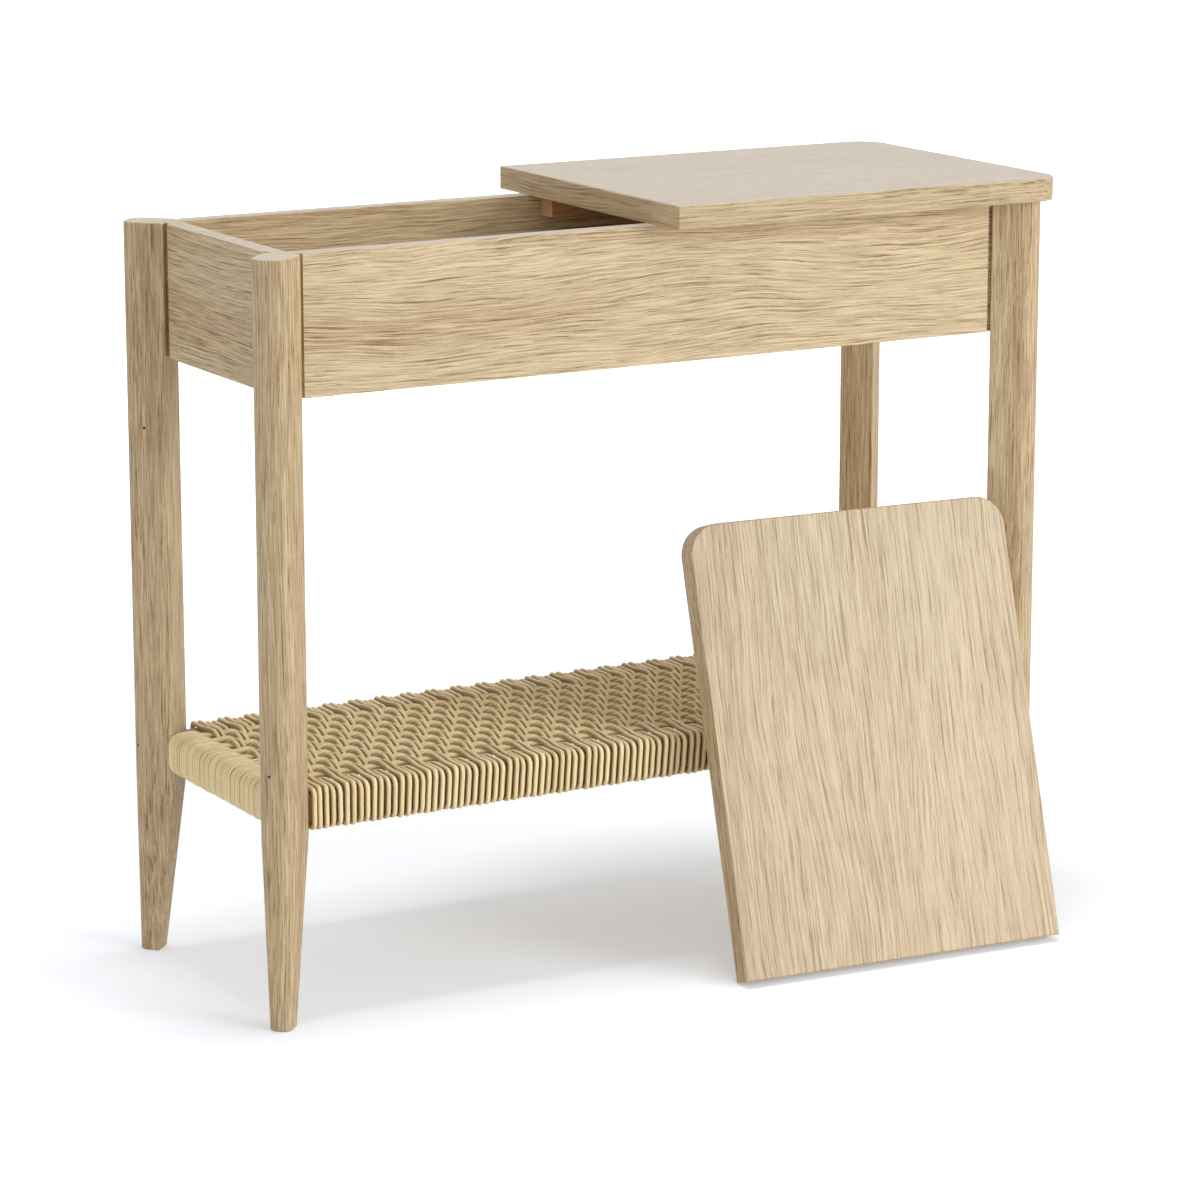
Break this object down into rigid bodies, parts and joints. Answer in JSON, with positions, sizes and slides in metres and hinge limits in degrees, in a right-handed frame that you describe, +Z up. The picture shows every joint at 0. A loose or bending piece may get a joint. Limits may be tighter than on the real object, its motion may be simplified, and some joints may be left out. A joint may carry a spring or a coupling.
{
  "type": "storage end table",
  "caption": "Narrow oak end table with a lift-off two-part top over a storage box, diagonal tapered legs and a woven cord shelf; one half of the top leans against a leg",
  "frame": {"origin": "on the floor, under the middle of the table", "axes": "+X to the right along the table, +Y to the back, +Z up"},
  "size_m": [0.6854, 0.3625, 0.59],
  "materials": {
    "oak": "satin lacquer",
    "oak_top": "satin lacquer",
    "inner_wood": "plain",
    "floor_ply": "plain",
    "paper_cord": "matte",
    "zinc_steel": "zinc"
  },
  "bodies": {
    "table": {"leg_front_left": "oak", "leg_front_right": "oak", "leg_back_left": "oak", "leg_back_right": "oak", "front_apron": "oak", "back_apron": "oak", "left_end_panel": "oak", "right_end_panel": "oak", "storage_floor": "floor_ply", "corner_block_front_left": "inner_wood", "corner_block_front_right": "inner_wood", "corner_block_back_left": "inner_wood", "corner_block_back_right": "inner_wood", "leg_bolts": "zinc_steel", "bolt_washers": "zinc_steel", "bolt_nuts": "zinc_steel", "shelf_front_rail": "inner_wood", "shelf_front_cord_wrap": "paper_cord", "shelf_back_rail": "inner_wood", "shelf_back_cord_wrap": "paper_cord", "shelf_left_rail": "inner_wood", "shelf_left_cord_wrap": "paper_cord", "shelf_right_rail": "inner_wood", "shelf_right_cord_wrap": "paper_cord", "shelf_woven_deck": "paper_cord", "shelf_frame_screws": "zinc_steel"},
    "right_lid": {"right_lid_panel": "oak_top", "right_lid_front_batten": "inner_wood", "right_lid_back_batten": "inner_wood", "right_lid_batten_screws": "zinc_steel"},
    "left_lid": {"left_lid_panel": "oak_top", "left_lid_front_batten": "inner_wood", "left_lid_back_batten": "inner_wood", "left_lid_batten_screws": "zinc_steel"}
  },
  "joints": [
    {"name": "right_lid_lift", "type": "slide", "parent": "table", "child": "right_lid", "axis": [0, 0, 1], "range_m": [0, 0.25]},
    {"name": "left_lid_lift", "type": "slide", "parent": "table", "child": "left_lid", "axis": [0, -0.5, 0.866], "range_m": [0, 0.3]}
  ]
}
